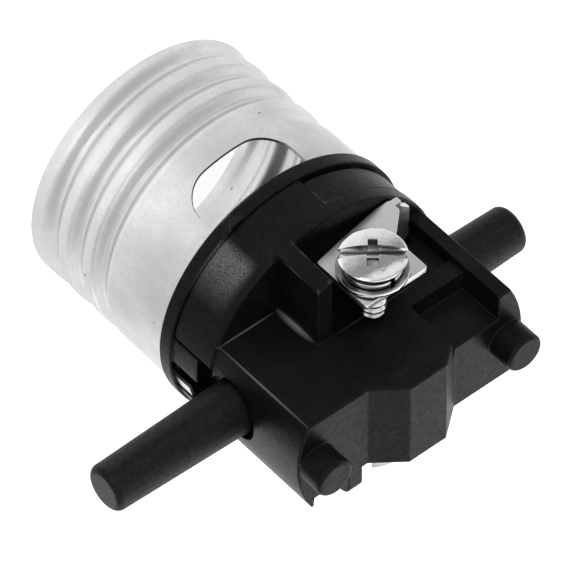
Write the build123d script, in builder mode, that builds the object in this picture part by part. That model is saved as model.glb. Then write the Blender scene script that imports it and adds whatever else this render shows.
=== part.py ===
from build123d import *
import math
import os

os.makedirs("parts", exist_ok=True)

# Lamp holder interior with a push-through switch, in millimetres.
# It stands on the mouth of its screw shell, as it does on a bench.
# Z runs along the socket's axis, from the mouth at zero up to the feet of the base.
# X runs along the push bar, and -Y is the side with the neutral terminal.

# Screw shell: thin aluminium, with the rolled Edison thread of a 27 mm lamp cap
thread_pitch = 25.4 / 7
shell_radius = 13.8
shell_wall = 0.4
shell_length = 20.0
thread_depth = 0.75
groove_round = 0.85
thread_turns = 3.3
thread_start_height = 1.35
thread_start_angle = -150.0
window_angle = -83.0
window_width = 11.0
window_height = 9.6
window_centre_drop = 1.3
window_corner = 4.2
tab_width = 3.2
tab_length = 5.0
tab_angle = 11.0

# Cover: the insulating disc between shell and base
cover_overhang = 0.4
cover_thickness = 1.65
cover_seat_depth = 0.5
cover_edge_round = 0.3
pedestal_screw_gap = 0.9
pedestal_height = 2.0
lug_width = 3.0
lug_length = 3.6
lug_thickness = 1.3
lug_angle = -5.0
nub_radius = 0.8
nub_angle = -66.0
nub_rise = 0.2667

# Base: one black moulding with collar, switch housing, fins and feet
collar_setback = 0.25
collar_height = 5.4
parting_gap = 0.4
parting_depth = 0.7
parting_start_angle = -97.0
parting_end_angle = -166.0
seam_step_depth = 0.15
seam_step_height = 3.75
housing_setback = 0.2
housing_half_thickness = 5.46
housing_height = 12.8
boss_foot_half_width = 5.34
boss_top_half_width = 2.25
boss_height = 2.4
foot_radius = 2.05
foot_inset = 2.1
foot_height = 2.9
foot_edge_round = 0.45
end_wall_thickness = 3.05
end_wall_reach = 6.4
far_rim_thickness = 1.75
side_recess_depth = 2.28
side_recess_height = 5.2
side_recess_start = 4.2
pocket_step_depth = 0.8
pocket_step_height = 5.65
fin_thickness = 1.7
fin_offset = 5.4
fin_height = 5.75
far_post_height = 10.2
far_post_inset = 1.25
far_post_round = 1.3
notch_side_angle = 0.857
notch_depth = 2.4
moulding_edge_round = 0.3
moulding_corner_round = 0.4

# Switch chamber inside the base, open towards the cover
chamber_near_reach = 3.6
chamber_far_reach = 4.3
bar_hole_radius = 3.4
bar_centre_drop = 2.82

# Push bar with its carriage
bar_length = 50.1
bar_middle_radius = 3.0
bar_end_radius = 2.45
bar_end_round = 0.75
bar_travel = 7.6
carriage_length = 9.2
carriage_gap = 0.3
carriage_rise = 3.1
carriage_drop = 3.1
stop_gap = 0.1
detent_notch_radius = 1.3
detent_notch_depth = 0.45

# Contacts and sheet metal
contact_sheet = 0.4
slider_sheet = 0.5
slider_width = 4.4
slider_inset = 1.1
slider_leg = 1.6
slider_bend = 0.2
finger_width = 2.6
contact_gap = 0.15
live_finger_x = -6.9
live_blade_inset = 4.55
live_tip_y = -1.2
centre_tip_x = -0.8
finger_bend = 0.6
detent_sheet = 0.3
detent_width = 3.6
detent_bump_half_width = 1.0
tongue_length = 8.0
tongue_width = 4.0
tongue_lift = 2.4
washer_thickness = 0.5
rivet_radius = 1.0
rivet_head_radius = 1.9
rivet_head_height = 0.6

# Terminals: a plate, a clamping washer and a screw on each side
plate_sheet = 0.65
plate_inset = 2.75
plate_left = 2.2
plate_right = -5.35
plate_near_rise = 1.65
plate_far_rise = 8.75
tongue_tip_width = 1.5
plate_tongue_reach = 2.5
terminal_x = -1.1
terminal_rise = 5.85
terminal_tip_gap = 1.24
terminal_head_radius = 3.3
terminal_head_height = 1.7
terminal_dome = 0.45
terminal_shank_radius = 1.4
terminal_slot_width = 0.85
terminal_slot_depth = 0.75
terminal_slot_angle = 140.0
clamp_washer_radius = 3.5
clamp_washer_sheet = 0.45
leg_width = 3.35
leg_side_gap = 0.85
leg_corner_cut = 1.6
leg_step_length = 2.25
leg_neck_width = 2.3
leg_lobe_radius = 1.55
leg_lobe_y = 6.35
wire_rest_gap = 0.15
spring_washer_sheet = 0.6
spring_washer_radius = 2.9
spring_washer_split = 0.5
shaft_gap = 0.08
strap_angle = -134.0
strap_half_angle = 4.5
strap_sheet = 0.6
strap_rise = 3.0

# Cover screws
cover_screw_rim_gap = 0.65
cover_screw_angle = 42.0
cover_screw_radius = 1.35
cover_screw_head_radius = 2.4
cover_screw_head_height = 1.4
cover_screw_length = 5.0

# Clearances
fixed_gap = 0.05
slip_gap = 0.3
slot_side_angle = 1.0

# Radii and distances from the axis that follow from the shell's radius
cover_radius = shell_radius + cover_overhang
collar_radius = cover_radius - collar_setback
housing_radius = collar_radius - housing_setback
shell_bore = shell_radius - shell_wall
strap_outer = shell_bore - fixed_gap
cover_screw_circle = strap_outer - strap_sheet - cover_screw_rim_gap - cover_screw_head_radius
pedestal_radius = cover_screw_circle - cover_screw_head_radius - pedestal_screw_gap
end_wall_inner = housing_radius - end_wall_thickness
far_rim_inner = housing_radius - far_rim_thickness
far_post_reach = collar_radius - far_post_inset
foot_spacing = 2 * (housing_radius - foot_inset)
plate_level = collar_radius - plate_inset
live_blade_y = collar_radius - live_blade_inset
pocket_floor = housing_half_thickness - pocket_step_depth

# Levels that follow from the sizes above
window_centre_height = shell_length - window_centre_drop
cover_top = shell_length - cover_seat_depth
base_top = cover_top + cover_thickness
shoulder = base_top + collar_height
base_end = shoulder + housing_height
plate_near_end = shoulder + plate_near_rise
plate_far_end = shoulder + plate_far_rise
terminal_height = shoulder + terminal_rise
bar_height = shoulder + bar_centre_drop
bar_rest_x = bar_travel / 2
chamber_floor = bar_height + carriage_drop + slip_gap
chamber_half_length = carriage_length / 2 + bar_travel / 2 + stop_gap
carriage_top = bar_height - carriage_rise
carriage_half_width = chamber_near_reach - carriage_gap
slider_top = carriage_top - slider_sheet
pedestal_top = cover_top - pedestal_height
leg_top = shoulder + 2 * contact_gap
leg_outer_x = leg_side_gap - end_wall_inner
leg_inner_x = leg_outer_x + leg_width
leg_end = chamber_near_reach + plate_sheet
finger_level = slider_top - contact_gap


def ring_sector(inner_radius, outer_radius, middle_angle, half_angle):
    """Sketch of a piece of a ring, with its angles in degrees."""
    start = middle_angle - half_angle
    with BuildSketch() as sector:
        with BuildLine():
            inner = CenterArc((0, 0), inner_radius, start, 2 * half_angle)
            outer = CenterArc((0, 0), outer_radius, start, 2 * half_angle)
            Line(inner @ 0, outer @ 0)
            Line(inner @ 1, outer @ 1)
        make_face()
    return sector.sketch


def bent_strip(points, bend_radius, thickness):
    """Sketch of a folded strip seen from its edge, with the sheet to the right of its line."""
    with BuildSketch() as strip:
        with BuildLine():
            FilletPolyline(*points, radius=bend_radius)
            offset(amount=thickness, side=Side.RIGHT)
        make_face()
    return strip.sketch


def finish(part, name):
    """Label a finished piece and write it to its file."""
    part.label = name
    export_step(part, "parts/" + name + ".step")


def radial_plane(angle):
    """Plane through the axis that faces outwards at an angle, with Z as its upright."""
    direction = (math.cos(math.radians(angle)), math.sin(math.radians(angle)), 0)
    across = (-direction[1], direction[0], 0)
    return Plane(origin=(0, 0, 0), x_dir=across, z_dir=direction)


# Screw shell
tab_angles = [tab_angle, tab_angle + 180]
tab_half_angle = math.degrees(tab_width / 2 / shell_radius)
groove_centre = shell_radius - thread_depth + groove_round
thread_height = thread_turns * thread_pitch
thread_plane = Plane.XY.offset(thread_start_height).rotated((0, 0, thread_start_angle))


def thread_worm(round_radius):
    """Round worm that follows the thread, with a ball at each end."""
    with BuildPart() as worm:
        with BuildLine(thread_plane):
            helix = Helix(pitch=thread_pitch, height=thread_height, radius=groove_centre)
        with BuildSketch(Plane(origin=helix @ 0, z_dir=helix % 0)):
            Circle(round_radius)
        sweep(path=helix, is_frenet=True)
        with Locations(helix @ 0, helix @ 1):
            Sphere(round_radius)
    return worm.part


with BuildPart() as screw_shell:
    with BuildSketch():
        Circle(shell_radius)
        Circle(shell_bore, mode=Mode.SUBTRACT)
    extrude(amount=shell_length)
    add(thread_worm(groove_round + shell_wall))
    with BuildSketch():
        Circle(shell_radius + 2 * groove_round + 2 * shell_wall)
        Circle(shell_radius, mode=Mode.SUBTRACT)
    extrude(amount=shell_length, mode=Mode.SUBTRACT)
    add(thread_worm(groove_round), mode=Mode.SUBTRACT)
    with BuildSketch(radial_plane(window_angle)):
        with Locations((0, window_centre_height)):
            RectangleRounded(window_width, window_height, window_corner)
    extrude(amount=shell_radius + slip_gap, both=True, mode=Mode.SUBTRACT)
    for angle in tab_angles:
        with BuildSketch(Plane.XY.offset(shell_length)):
            add(ring_sector(shell_bore, shell_radius, angle, tab_half_angle))
        extrude(amount=tab_length)
finish(screw_shell.part, "screw_shell")

# Cover disc: seat for the shell, slots for its tabs and two lugs that hook into the base
lug_angles = [lug_angle, lug_angle + 180]
lug_outer = collar_radius - fixed_gap
lug_half_angle = math.degrees(lug_width / 2 / lug_outer)
with BuildPart() as cover_disc:
    with BuildSketch(Plane.XY.offset(cover_top)):
        Circle(cover_radius)
    extrude(amount=cover_thickness)
    fillet(cover_disc.edges().group_by(Axis.Z)[0], cover_edge_round)
    with BuildSketch(Plane.XY.offset(cover_top)):
        Circle(pedestal_radius)
    extrude(amount=-pedestal_height)
    with BuildSketch(radial_plane(nub_angle)):
        with Locations((0, base_top)):
            Circle(nub_radius)
        with Locations((0, base_top + nub_radius)):
            Rectangle(2 * nub_radius, 2 * nub_radius, mode=Mode.SUBTRACT)
    extrude(amount=cover_radius + nub_rise)
    with BuildSketch(Plane.XY.offset(cover_top)):
        Circle(shell_radius + fixed_gap)
        Circle(shell_bore - fixed_gap, mode=Mode.SUBTRACT)
    extrude(amount=cover_seat_depth + fixed_gap, mode=Mode.SUBTRACT)
    for angle in tab_angles:
        with BuildSketch(Plane.XY.offset(cover_top)):
            add(ring_sector(shell_bore - fixed_gap, shell_radius + fixed_gap, angle,
                            tab_half_angle + slot_side_angle))
        extrude(amount=cover_thickness, mode=Mode.SUBTRACT)
    for angle in lug_angles:
        with BuildSketch(Plane.XY.offset(base_top)):
            add(ring_sector(lug_outer - lug_thickness, lug_outer, angle, lug_half_angle))
        extrude(amount=lug_length)
    # Holes for the screws and the rivet, and the slot for the strap
    with BuildSketch(Plane.XY.offset(pedestal_top)):
        with PolarLocations(cover_screw_circle, 2, cover_screw_angle):
            Circle(cover_screw_radius + fixed_gap)
        Circle(rivet_radius + fixed_gap)
        add(ring_sector(strap_outer - strap_sheet - fixed_gap, strap_outer + fixed_gap, strap_angle,
                        strap_half_angle + slot_side_angle))
    extrude(amount=pedestal_height + cover_thickness, mode=Mode.SUBTRACT)
finish(cover_disc.part, "cover_disc")

# Base moulding
finger_slot_half_width = finger_width / 2 + fixed_gap
screw_hole_radius = cover_screw_radius + fixed_gap
screw_hole_depth = cover_screw_length - cover_thickness + slip_gap
parting_middle = (parting_start_angle + parting_end_angle) / 2
parting_half_angle = (parting_start_angle - parting_end_angle) / 2
notch_middle = (tab_angle + lug_angle) / 2
notch_half_angle = (tab_angle - lug_angle) / 2 + tab_half_angle + notch_side_angle

with BuildPart() as base_moulding:
    with BuildSketch(Plane.XY.offset(base_top)):
        Circle(collar_radius)
    extrude(amount=collar_height)
    fillet(base_moulding.edges().group_by(Axis.Z)[-1], moulding_edge_round)
    # Housing: a thick bar with round ends, an end wall beside the neutral terminal
    # and a lower rim opposite
    with BuildSketch(Plane.XY.offset(shoulder - moulding_edge_round)):
        Rectangle(2 * housing_radius, 2 * housing_half_thickness)
        with Locations((-end_wall_inner, 0)):
            Rectangle(housing_radius, end_wall_reach, align=(Align.MAX, Align.MAX))
        with Locations((far_rim_inner, 0)):
            Rectangle(housing_radius, housing_radius, align=(Align.MIN, Align.MIN))
        Circle(housing_radius, mode=Mode.INTERSECT)
    extrude(amount=housing_height + moulding_edge_round)
    housing_middle = shoulder + housing_height / 2
    housing_corners = base_moulding.edges().filter_by(Axis.Z).filter_by_position(
        Axis.Z, housing_middle - moulding_edge_round, housing_middle + moulding_edge_round
    )
    plain_corners = housing_corners.filter_by(lambda edge: edge.center().X * edge.center().Y < 0)
    fillet(plain_corners, moulding_corner_round)
    # Raised middle of the underside
    with BuildSketch(Plane.XZ):
        with BuildLine():
            Polyline(
                (-boss_foot_half_width, base_end - boss_height),
                (-boss_foot_half_width, base_end),
                (-boss_top_half_width, base_end + boss_height),
                (boss_top_half_width, base_end + boss_height),
                (boss_foot_half_width, base_end),
                (boss_foot_half_width, base_end - boss_height),
                close=True,
            )
        make_face()
    extrude(amount=housing_half_thickness, both=True)
    underside_edges = base_moulding.edges().filter_by_position(Axis.Z, base_end, base_end + boss_height)
    fillet(underside_edges - underside_edges.filter_by(Axis.Y), moulding_edge_round)
    # Recess beside the raised middle, and the deeper floor under the terminal
    with BuildSketch(Plane.XY.offset(base_end - side_recess_height)):
        with Locations((-side_recess_start, -housing_half_thickness)):
            Rectangle(
                end_wall_inner - side_recess_start,
                2 * side_recess_depth,
                align=(Align.MAX, Align.CENTER),
            )
    extrude(amount=side_recess_height + boss_height, mode=Mode.SUBTRACT)
    with BuildSketch(Plane.XY.offset(shoulder)):
        with Locations((-end_wall_inner, -housing_half_thickness)):
            Rectangle(
                end_wall_inner + fin_offset,
                2 * pocket_step_depth,
                align=(Align.MIN, Align.CENTER),
            )
    extrude(amount=pocket_step_height, mode=Mode.SUBTRACT)
    # Fin that shields the neutral terminal, and the taller post on the live side
    with BuildSketch(Plane.XY.offset(shoulder - moulding_edge_round)):
        Circle(collar_radius)
        with Locations((fin_offset, -pocket_floor)):
            Rectangle(
                fin_thickness,
                collar_radius,
                align=(Align.MAX, Align.MAX),
                mode=Mode.INTERSECT,
            )
    extrude(amount=fin_height + moulding_edge_round)
    fin_edges = base_moulding.edges().filter_by_position(Axis.Z, shoulder + fin_height, shoulder + fin_height)
    fillet(fin_edges.sort_by(Axis.Y)[0], moulding_edge_round)
    with BuildSketch(Plane.YZ.offset(fin_offset)):
        with BuildLine():
            Polyline(
                (0, shoulder),
                (0, shoulder + far_post_height),
                (far_post_reach, shoulder + far_post_height),
                (far_post_reach, shoulder),
                close=True,
            )
        make_face()
        fillet(vertices().group_by(Axis.Y)[-1].sort_by(Axis.X)[-1], far_post_round)
    extrude(amount=-fin_thickness)
    # Feet
    with BuildSketch(Plane.XY.offset(base_end)):
        with GridLocations(foot_spacing, 0, 2, 1):
            Circle(foot_radius)
    extrude(amount=foot_height)
    fillet(base_moulding.faces().sort_by(Axis.Z)[-2:].edges(), foot_edge_round)
    # Switch chamber, open to the cover, and the holes that the bar slides in
    with BuildSketch(Plane.XY.offset(base_top)):
        with Locations((0, -chamber_near_reach)):
            Rectangle(
                2 * chamber_half_length,
                chamber_near_reach + chamber_far_reach,
                align=(Align.CENTER, Align.MIN),
            )
    extrude(amount=chamber_floor - base_top, mode=Mode.SUBTRACT)
    with BuildSketch(Plane.YZ):
        with Locations((0, bar_height)):
            Circle(bar_hole_radius)
    extrude(amount=collar_radius, both=True, mode=Mode.SUBTRACT)
    # Notches in the collar for the shell's tabs and the cover's lugs
    for angle in (notch_middle, notch_middle + 180):
        with BuildSketch(Plane.XY.offset(base_top)):
            add(ring_sector(collar_radius - notch_depth, 2 * collar_radius, angle, notch_half_angle))
        extrude(amount=collar_height, mode=Mode.SUBTRACT)
    # Open part of the joint with the cover, and the shallow step below it
    with BuildSketch(Plane.XY.offset(base_top)):
        add(ring_sector(collar_radius - parting_depth, 2 * collar_radius, parting_middle, parting_half_angle))
    extrude(amount=parting_gap, mode=Mode.SUBTRACT)
    with BuildSketch(Plane.XY.offset(base_top)):
        add(ring_sector(collar_radius - seam_step_depth, 2 * collar_radius, parting_middle,
                        parting_half_angle))
    extrude(amount=seam_step_height, mode=Mode.SUBTRACT)
    # Slots for the sheet metal and holes for the cover screws
    with BuildSketch(Plane.XY.offset(base_top)):
        add(ring_sector(strap_outer - strap_sheet - fixed_gap, strap_outer + fixed_gap, strap_angle,
                        strap_half_angle + slot_side_angle))
        with Locations((live_finger_x, live_blade_y)):
            Rectangle(
                finger_slot_half_width * 2,
                contact_sheet + 2 * fixed_gap,
            )
    extrude(amount=collar_height, mode=Mode.SUBTRACT)
    with BuildSketch(Plane.XY.offset(base_top)):
        with Locations((live_finger_x, 0)):
            Rectangle(
                finger_slot_half_width * 2,
                live_blade_y,
                align=(Align.CENTER, Align.MIN),
            )
    extrude(amount=contact_sheet + fixed_gap, mode=Mode.SUBTRACT)
    with BuildSketch(Plane.XY.offset(leg_top - fixed_gap)):
        with Locations((leg_outer_x - fixed_gap, 0)):
            Rectangle(leg_width + 2 * fixed_gap, 2 * collar_radius, align=(Align.MIN, Align.CENTER))
            Rectangle(
                leg_width + 2 * fixed_gap,
                2 * (leg_end - fixed_gap),
                align=(Align.MIN, Align.CENTER),
                mode=Mode.SUBTRACT,
            )
    extrude(amount=plate_sheet + 2 * fixed_gap, mode=Mode.SUBTRACT)
    with BuildSketch(Plane.XY.offset(base_top)):
        with PolarLocations(cover_screw_circle, 2, cover_screw_angle):
            Circle(screw_hole_radius)
    extrude(amount=screw_hole_depth, mode=Mode.SUBTRACT)
finish(base_moulding.part, "base_moulding")

# Push bar: round and slightly tapered both ways, with a square carriage in the middle
bar_axis = Axis((bar_rest_x, 0, bar_height), (1, 0, 0))
bar_front = Plane(origin=(bar_rest_x, 0, bar_height), x_dir=(1, 0, 0), z_dir=(0, -1, 0))
carriage_base = Plane(origin=(bar_rest_x, 0, carriage_top))
slider_half_length = carriage_length / 2 - slider_inset
slider_slot = slider_bend + slider_sheet + fixed_gap

with BuildPart() as push_bar:
    with BuildSketch(bar_front):
        Polygon(
            (-bar_length / 2, 0),
            (-bar_length / 2, bar_end_radius),
            (0, bar_middle_radius),
            (bar_length / 2, bar_end_radius),
            (bar_length / 2, 0),
            align=None,
        )
    revolve(axis=bar_axis)
    fillet(push_bar.edges().filter_by(GeomType.CIRCLE).sort_by(Axis.X)[0], bar_end_round)
    fillet(push_bar.edges().filter_by(GeomType.CIRCLE).sort_by(Axis.X)[-1], bar_end_round)
    with BuildSketch(carriage_base):
        Rectangle(carriage_length, 2 * carriage_half_width)
    extrude(amount=carriage_rise + carriage_drop)
    with BuildSketch(carriage_base):
        with Locations((0, carriage_half_width + detent_notch_radius - detent_notch_depth)):
            with GridLocations(bar_travel, 0, 2, 1):
                Circle(detent_notch_radius)
    extrude(amount=carriage_rise + carriage_drop, mode=Mode.SUBTRACT)
    with BuildSketch(carriage_base):
        with GridLocations(2 * slider_half_length + slider_slot - 2 * slider_bend, 0, 2, 1):
            Rectangle(slider_slot, slider_width + 2 * fixed_gap)
    extrude(amount=slider_leg + fixed_gap, mode=Mode.SUBTRACT)
finish(push_bar.part, "push_bar")

# Brass slider on the carriage that joins the two fingers, with its ends folded into slots
with BuildPart() as contact_slider:
    with BuildSketch(bar_front):
        add(
            bent_strip(
                [
                    (-slider_half_length, slider_leg - carriage_rise),
                    (-slider_half_length, -carriage_rise),
                    (slider_half_length, -carriage_rise),
                    (slider_half_length, slider_leg - carriage_rise),
                ],
                slider_bend,
                slider_sheet,
            )
        )
    extrude(amount=slider_width / 2, both=True)
finish(contact_slider.part, "contact_slider")

# Centre contact: a springy tongue on the pedestal, with its washer, rivet and finger
with BuildPart() as insulating_washer:
    with BuildSketch(Plane.XY.offset(pedestal_top)):
        Circle(pedestal_radius - slip_gap)
        Circle(rivet_radius + fixed_gap, mode=Mode.SUBTRACT)
    extrude(amount=-washer_thickness)
finish(insulating_washer.part, "insulating_washer")

tongue_base = pedestal_top - washer_thickness
with BuildPart() as centre_contact:
    with BuildSketch(Plane.XZ):
        add(
            bent_strip(
                [
                    (-tongue_length / 2, tongue_base),
                    (tongue_length / 4, tongue_base),
                    (tongue_length / 2, tongue_base - tongue_lift / 2),
                    (tongue_length / 4, tongue_base - tongue_lift),
                    (-tongue_length / 3, tongue_base - tongue_lift),
                ],
                2 * contact_sheet,
                contact_sheet,
            )
        )
    extrude(amount=tongue_width / 2, both=True)
    with BuildSketch(Plane.XY.offset(tongue_base)):
        Circle(rivet_radius + fixed_gap)
    extrude(amount=-tongue_lift / 2, mode=Mode.SUBTRACT)
finish(centre_contact.part, "centre_contact")

# Both heads of a rivet lie on flat sheet, so it is one turned profile
with BuildPart() as centre_rivet:
    with BuildSketch(Plane.XY.offset(tongue_base - contact_sheet)):
        Circle(rivet_head_radius)
    extrude(amount=-rivet_head_height)
    fillet(centre_rivet.edges().group_by(Axis.Z)[0], rivet_head_height * 0.6)
    with BuildSketch(Plane.XY.offset(tongue_base - contact_sheet)):
        Circle(rivet_radius)
    extrude(amount=base_top + 2 * contact_sheet - tongue_base)
    with BuildSketch(Plane.XY.offset(base_top + contact_sheet)):
        Circle(rivet_head_radius)
    extrude(amount=rivet_head_height)
finish(centre_rivet.part, "centre_rivet")

finger_root = rivet_head_radius + finger_bend
finger_turn = finger_root + finger_width
with BuildPart() as centre_finger:
    with BuildSketch(Plane.XZ):
        add(
            bent_strip(
                [
                    (centre_tip_x, finger_level),
                    (finger_root, finger_level),
                    (finger_turn, (finger_level + base_top) / 2),
                    (finger_root, base_top),
                    (-rivet_head_radius, base_top),
                ],
                finger_bend,
                contact_sheet,
            )
        )
    extrude(amount=finger_width / 2, both=True)
    with BuildSketch(Plane.XY.offset(base_top)):
        Circle(rivet_radius + fixed_gap)
    extrude(amount=contact_sheet + fixed_gap, mode=Mode.SUBTRACT)
finish(centre_finger.part, "centre_finger")

# Live finger: from the live terminal up through the collar, over and down into the chamber
with BuildPart() as live_finger:
    with BuildSketch(Plane.YZ.offset(live_finger_x)):
        add(
            bent_strip(
                [
                    (live_blade_y + contact_sheet / 2, leg_top - fixed_gap),
                    (live_blade_y + contact_sheet / 2, base_top),
                    (chamber_far_reach - finger_bend, base_top),
                    (live_tip_y + finger_width, finger_level - contact_sheet),
                    (live_tip_y, finger_level - contact_sheet),
                ],
                finger_bend,
                contact_sheet,
            )
        )
    extrude(amount=finger_width / 2, both=True)
finish(live_finger.part, "live_finger")

# Detent spring: a leaf along the chamber's far wall, with a bump for the carriage's notches
detent_reach = chamber_half_length - 2 * slip_gap
detent_back = chamber_far_reach - fixed_gap - detent_sheet
detent_apex = carriage_half_width + 2 * fixed_gap
with BuildPart() as detent_spring:
    with BuildSketch(Plane.XY.offset(bar_height - detent_width / 2)):
        add(
            bent_strip(
                [
                    (detent_reach, detent_back),
                    (2 * detent_bump_half_width, detent_back),
                    (detent_bump_half_width / 2, detent_apex),
                    (-detent_bump_half_width / 2, detent_apex),
                    (-2 * detent_bump_half_width, detent_back),
                    (-detent_reach, detent_back),
                ],
                detent_sheet,
                detent_sheet,
            )
        )
    extrude(amount=detent_width)
finish(detent_spring.part, "detent_spring")

# Shell strap: joins the shell to the neutral terminal through the cover and the collar
with BuildPart() as shell_strap:
    with BuildSketch(Plane.XY.offset(cover_top - strap_rise)):
        add(ring_sector(strap_outer - strap_sheet, strap_outer, strap_angle, strap_half_angle))
    extrude(amount=leg_top - fixed_gap - cover_top + strap_rise)
finish(shell_strap.part, "shell_strap")

# Neutral terminal: a square plate with a tongue up to the collar and a leg down into the base
tongue_end = shoulder + contact_gap
leg_step_end = leg_corner_cut + leg_step_length - plate_level
with BuildPart() as neutral_terminal:
    with BuildSketch(Plane.XZ.offset(plate_level)):
        with BuildLine():
            Polyline(
                (plate_left, plate_near_end),
                (plate_left, plate_far_end),
                (plate_right, plate_far_end),
                (plate_right, plate_near_end + plate_tongue_reach),
                (leg_inner_x - tongue_tip_width, tongue_end + tongue_tip_width),
                (leg_inner_x - tongue_tip_width, tongue_end),
                (leg_inner_x, tongue_end),
                (terminal_x, plate_near_end - plate_sheet),
                close=True,
            )
        make_face()
        fillet(vertices(), plate_sheet / 2)
        with Locations((terminal_x, terminal_height)):
            Circle(terminal_shank_radius + shaft_gap, mode=Mode.SUBTRACT)
    extrude(amount=-plate_sheet)
    with BuildSketch(Plane.XY.offset(leg_top)):
        Polygon(
            (leg_inner_x, -plate_level),
            (leg_inner_x, leg_step_end),
            (leg_outer_x, leg_step_end),
            (leg_outer_x, leg_corner_cut - plate_level),
            (leg_inner_x - tongue_tip_width, -plate_level),
            align=None,
        )
        with Locations((leg_inner_x, -leg_end)):
            Rectangle(leg_neck_width, plate_level - leg_end, align=(Align.MAX, Align.MAX))
        with Locations((leg_outer_x + leg_lobe_radius, -leg_lobe_y)):
            Circle(leg_lobe_radius)
    extrude(amount=plate_sheet)
finish(neutral_terminal.part, "neutral_terminal")

with BuildPart() as live_terminal:
    add(neutral_terminal.part)
    mirror(about=Plane.XZ, mode=Mode.REPLACE)
finish(live_terminal.part, "live_terminal")

# Terminal screws with a clamping washer and a split spring washer under each head
washer_seat = plate_level + wire_rest_gap
spring_seat = washer_seat + clamp_washer_sheet + fixed_gap
head_seat = spring_seat + spring_washer_sheet + fixed_gap
shank_length = head_seat - pocket_floor - terminal_tip_gap


def terminal_plane(side, level):
    """Plane square to a terminal screw, at a distance from the socket's axis."""
    return Plane(origin=(terminal_x, side * level, terminal_height), x_dir=(-side, 0, 0), z_dir=(0, side, 0))


for side, name in ((-1, "neutral"), (1, "live")):
    with BuildPart() as clamp_washer:
        with BuildSketch(terminal_plane(side, washer_seat)):
            Circle(clamp_washer_radius)
            Circle(terminal_shank_radius + shaft_gap, mode=Mode.SUBTRACT)
        extrude(amount=clamp_washer_sheet)
    finish(clamp_washer.part, name + "_washer")

    with BuildPart() as spring_washer:
        with BuildSketch(terminal_plane(side, spring_seat)):
            Circle(spring_washer_radius)
            Circle(terminal_shank_radius + shaft_gap, mode=Mode.SUBTRACT)
            with Locations((0, spring_washer_radius)):
                Rectangle(spring_washer_split, 2 * spring_washer_radius, mode=Mode.SUBTRACT)
        extrude(amount=spring_washer_sheet)
    finish(spring_washer.part, name + "_spring_washer")

    with BuildPart() as terminal_screw:
        with BuildSketch(terminal_plane(side, head_seat)):
            Circle(terminal_head_radius)
        extrude(amount=terminal_head_height)
        fillet(terminal_screw.edges().sort_by(Axis.Y, reverse=side > 0)[0], terminal_dome)
        with BuildSketch(terminal_plane(side, head_seat)):
            Circle(terminal_shank_radius)
        extrude(amount=-shank_length)
        head_top = terminal_plane(side, head_seat + terminal_head_height)
        with BuildSketch(head_top.rotated((0, 0, terminal_slot_angle))):
            Rectangle(2 * terminal_head_radius, terminal_slot_width)
            Rectangle(terminal_slot_width, terminal_head_radius)
        extrude(amount=-terminal_slot_depth, mode=Mode.SUBTRACT)
    finish(terminal_screw.part, name + "_screw")

# Cover screws: the two share one file
with BuildPart() as cover_screws:
    with BuildSketch(Plane.XY.offset(cover_top)):
        with PolarLocations(cover_screw_circle, 2, cover_screw_angle):
            Circle(cover_screw_head_radius)
    extrude(amount=-cover_screw_head_height)
    fillet(cover_screws.edges().group_by(Axis.Z)[0], cover_screw_head_height / 3)
    with BuildSketch(Plane.XY.offset(cover_top)):
        with PolarLocations(cover_screw_circle, 2, cover_screw_angle):
            Circle(cover_screw_radius)
    extrude(amount=cover_screw_length)
    with BuildSketch(Plane.XY.offset(cover_top - cover_screw_head_height)):
        with PolarLocations(cover_screw_circle, 2, cover_screw_angle):
            Rectangle(2 * cover_screw_head_radius, cover_screw_radius / 2)
            Rectangle(cover_screw_radius / 2, 2 * cover_screw_radius)
    extrude(amount=cover_screw_head_height / 2, mode=Mode.SUBTRACT)
finish(cover_screws.part, "cover_screws")
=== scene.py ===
"""Looks of a lamp socket with a push switch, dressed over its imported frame."""

import math

import bmesh
import bpy
from bpy.props import FloatProperty, FloatVectorProperty, IntProperty, PointerProperty
from mathutils import Matrix, Quaternion, Vector
from mathutils.bvhtree import BVHTree


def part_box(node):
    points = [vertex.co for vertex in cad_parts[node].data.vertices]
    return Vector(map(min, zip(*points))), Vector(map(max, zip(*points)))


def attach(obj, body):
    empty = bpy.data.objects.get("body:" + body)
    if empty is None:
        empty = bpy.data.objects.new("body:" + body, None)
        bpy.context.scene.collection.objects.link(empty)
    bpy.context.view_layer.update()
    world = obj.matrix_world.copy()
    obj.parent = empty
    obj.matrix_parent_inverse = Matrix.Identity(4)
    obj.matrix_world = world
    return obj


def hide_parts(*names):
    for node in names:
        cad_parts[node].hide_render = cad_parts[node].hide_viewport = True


bl_info = {
    "name": "Lamp Socket Dresser",
    "version": (1, 0, 0),
    "blender": (4, 5, 0),
    "location": "3D View > Sidebar > Lamp Socket",
    "description": "Builds the finished surfaces of a lamp socket with a push switch",
    "category": "Object",
}

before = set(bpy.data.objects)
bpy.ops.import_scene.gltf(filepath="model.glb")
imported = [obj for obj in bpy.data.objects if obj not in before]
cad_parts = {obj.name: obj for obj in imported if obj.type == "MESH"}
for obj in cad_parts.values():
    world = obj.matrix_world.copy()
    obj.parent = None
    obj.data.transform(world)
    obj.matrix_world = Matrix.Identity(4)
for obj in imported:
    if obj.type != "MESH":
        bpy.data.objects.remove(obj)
MM = 0.001

# Places with a painted highlight, greyed and with more sheen: middle, reach (mm) and strength
PAINTED_HIGHLIGHT_PLACES = (
    ((5.5, -5.4, 29.0), (0.55, 0.6, 3.0), 1.0),  # foot of the fin
    ((12.55, -5.46, 33.0), (0.16, 0.16, 8.5), 0.7),  # edge of the housing beside the long end
    ((9.4, -5.46, 26.5), (4.4, 0.2, 0.2), 0.8),  # shoulder between that edge and the fin
    ((-1.5, -5.46, 32.2), (6.0, 0.3, 0.3), 0.6),  # lower edge of the terminal's pocket
)
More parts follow.
